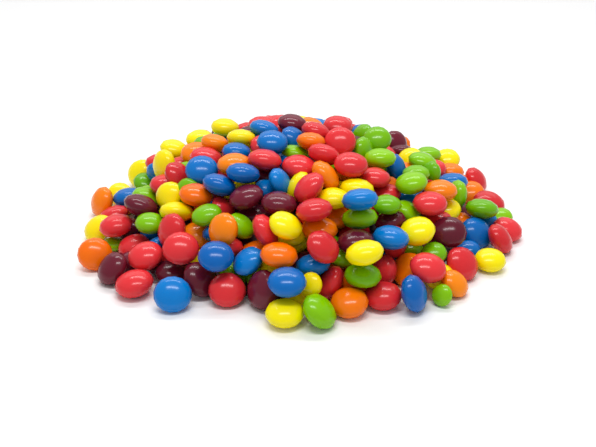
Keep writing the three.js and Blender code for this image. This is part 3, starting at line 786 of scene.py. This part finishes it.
def candyPiece(colour, tree, seed):
    ours = [candy for candy in candies if candy["colour"] == colour]
    made = meshObject(colour + "Candies", [inFrame(candy["middle"]) for candy in ours])
    axes = made.data.attributes.new("axis", "FLOAT_VECTOR", "POINT")
    axes.data.foreach_set("vector", [value for candy in ours for value in candy["axis"]])
    centres = made.data.attributes.new("centre", "FLOAT_VECTOR", "POINT")
    centres.data.foreach_set("vector", [value for candy in ours for value in inFrame(candy["middle"])])
    sizes = made.data.attributes.new("size", "FLOAT", "POINT")
    sizes.data.foreach_set("value", [candy["size"] for candy in ours])
    inputs = {
        "Candy width": heap["candyWidth"] * millimetre,
        "Candy thickness": heap["candyThickness"] * millimetre,
        "Segments": form["segments"],
        "Rings": form["rings"],
        "Seed": seed,
        "Shell": shellMaterial(colour),
    }
    return applyTree(made, tree, inputs)


pieces = {}
lensTree = candyTree()
for index, colour in enumerate(colourShares):
    pieces[colour + "_shell"] = candyPiece(colour, lensTree, form["seed"] + 3 * index)
print("candies made:", len(pieces), "colours")

# The candies below, which the gaps hardly show: one bumpy dome that stands for them all, coloured a dark
# painted shade like the shadowed candies deep in the gaps
core = {
    "inset": 19,  # millimetres under the outer form
    "rim": 70,  # millimetres from the middle
    "turns": 72,
    "rings": 18,
    "bumpSize": 7,  # millimetres
    "bumpHeight": 1.5,
    # painted shade: a dark red-brown for candies deep in the heap's shade, not any candy's own colour
    "colour": "#3A1620",
    "roughness": 0.5,
}


def coreMaterial():
    material = bpy.data.materials.new("Painted shade of the candies below")
    material.use_nodes = True
    surface = material.node_tree.nodes["Principled BSDF"]
    # The base colour is painted shade, the dark of shadowed candies, not a lit shell colour
    surface.inputs["Base Color"].default_value = linear(core["colour"])
    surface.inputs["Roughness"].default_value = core["roughness"]
    return material


def corePiece():
    points = [(0, 0, 0)]
    faces = []
    wave = 2 * math.pi / (2 * core["bumpSize"])
    for ring in range(core["rings"] + 1):
        radius = core["rim"] * (1 - ring / (core["rings"] + 1))
        for turn in range(core["turns"]):
            angle = 2 * math.pi * turn / core["turns"]
            x, y = radius * math.cos(angle), radius * math.sin(angle)
            bump = core["bumpHeight"] * math.sin(wave * x) * math.sin(wave * y)
            points.append((x, y, max(0, domeHeight(x, y, core["inset"]) + bump) if ring else 0))
    points.append((0, 0, domeHeight(0, 0, core["inset"])))
    for turn in range(core["turns"]):
        after = (turn + 1) % core["turns"]
        faces.append((0, 1 + after, 1 + turn))
        for ring in range(core["rings"]):
            low, high = 1 + ring * core["turns"], 1 + (ring + 1) * core["turns"]
            faces.append((low + turn, low + after, high + after, high + turn))
        last = 1 + core["rings"] * core["turns"]
        faces.append((last + turn, last + after, len(points) - 1))
    made = meshObject("shadedCore", [inFrame(point) for point in points], faces)
    made.data.shade_smooth()
    made.data.materials.append(coreMaterial())
    return made


shadedCore = corePiece()
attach(shadedCore, "root")
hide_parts("candy_heap")
for slot, piece in pieces.items():
    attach(piece, "root")
    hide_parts("candy_heap")
print("pieces placed")

# Studio: a white surface, a white room, and soft lights. Sizes and places are in metres.
floorLook = {"half": 1.5, "colour": "#F7F7F7", "roughness": 0.55}
room = {"colour": "#FFFFFF", "strength": 0.5}
lights = {
    "front strip": {"size": (0.44, 0.045), "place": (0, -0.16, 0.6), "aim": (0, 0, 0.02), "power": 1.8},
    "back strip": {"size": (0.9, 0.08), "place": (0, 0.45, 0.85), "aim": (0, 0, 0.02), "power": 3.6},
    "far wash": {"size": (2, 0.6), "place": (0, 1.1, 0.8), "aim": (0, 0.6, 0), "power": 3.2},
}


def addFloor():
    half = floorLook["half"]
    corners = [(-half, -half, 0), (half, -half, 0), (half, half, 0), (-half, half, 0)]
    made = meshObject("floor", corners, [(0, 1, 2, 3)])
    material = bpy.data.materials.new("White laminate, smooth")  # plain and evenly bright
    material.use_nodes = True
    surface = material.node_tree.nodes["Principled BSDF"]
    surface.inputs["Base Color"].default_value = linear(floorLook["colour"])
    surface.inputs["Roughness"].default_value = floorLook["roughness"]
    made.data.materials.append(material)


def addLight(name, settings):
    light = bpy.data.lights.new(name, "AREA")
    light.shape = "RECTANGLE"
    light.size, light.size_y = settings["size"]
    light.energy = settings["power"]
    made = bpy.data.objects.new(name, light)
    made.location = settings["place"]
    made.rotation_euler = (Vector(settings["aim"]) - made.location).to_track_quat("-Z", "Y").to_euler()
    bpy.context.scene.collection.objects.link(made)


def addCamera():
    camera = bpy.data.cameras.new("camera")
    camera.sensor_width = view["sensorWidth"]
    camera.lens = camera.sensor_width * view["focalLength"] / view["width"]
    made = bpy.data.objects.new("camera", camera)
    made.location = inFrame(eye)
    made.rotation_euler = (math.pi / 2 - math.atan2(view["fall"], view["run"]), 0, 0)
    bpy.context.scene.collection.objects.link(made)
    bpy.context.scene.camera = made


addFloor()
for name, settings in lights.items():
    addLight(name, settings)
addCamera()
world = bpy.data.worlds.new("white room")
world.use_nodes = True
world.node_tree.nodes["Background"].inputs["Color"].default_value = linear(room["colour"])
world.node_tree.nodes["Background"].inputs["Strength"].default_value = room["strength"]
bpy.context.scene.world = world
bpy.context.scene.view_settings.view_transform = "Standard"
print("studio lit")
